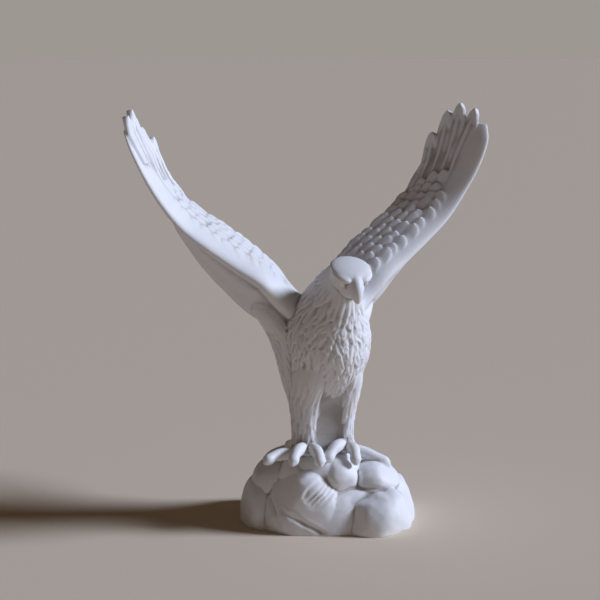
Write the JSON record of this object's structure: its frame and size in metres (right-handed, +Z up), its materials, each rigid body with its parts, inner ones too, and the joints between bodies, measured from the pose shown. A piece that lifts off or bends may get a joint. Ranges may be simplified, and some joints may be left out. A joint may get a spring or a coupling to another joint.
{
  "type": "eagle statue",
  "caption": "Eagle figure with raised wings standing on a mound of boulders, a solid cast marble ornament for a shelf, table or plinth.",
  "frame": {"origin": "point on the flat underside of the mound, straight below the eagle's body", "axes": "+Z up, -Y the way the eagle faces, +X towards the eagle's left wing"},
  "size_m": [0.3265, 0.1466, 0.3572],
  "materials": {
    "cast_marble": "matte"
  },
  "bodies": {
    "root": {"eagle_on_rock": "cast_marble"}
  },
  "joints": []
}
